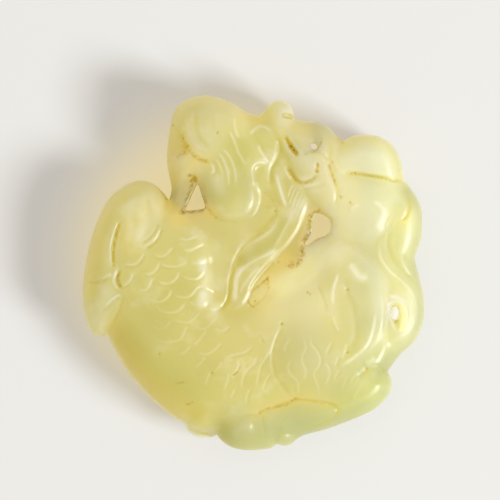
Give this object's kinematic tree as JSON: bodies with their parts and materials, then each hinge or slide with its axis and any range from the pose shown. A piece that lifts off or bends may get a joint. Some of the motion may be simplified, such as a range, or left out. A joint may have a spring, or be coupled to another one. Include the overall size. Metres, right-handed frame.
{
  "type": "jade pendant",
  "caption": "Flat round jade pendant carved in relief and openwork as a curled scaled beast, with small cord holes.",
  "frame": {"origin": "middle of the bounding box at its base, on the ground flats of the back that the pendant lies on", "axes": "+Z out of the carved front, the short way through the thickness; +Y to the top of the carving, where the beast's head is; +X to the right seen from the front"},
  "size_m": [0.0578, 0.06, 0.0145],
  "materials": {
    "pale_jade": "polished, waxy, slightly translucent"
  },
  "bodies": {
    "root": {"carved_pendant": "pale_jade"}
  },
  "joints": []
}
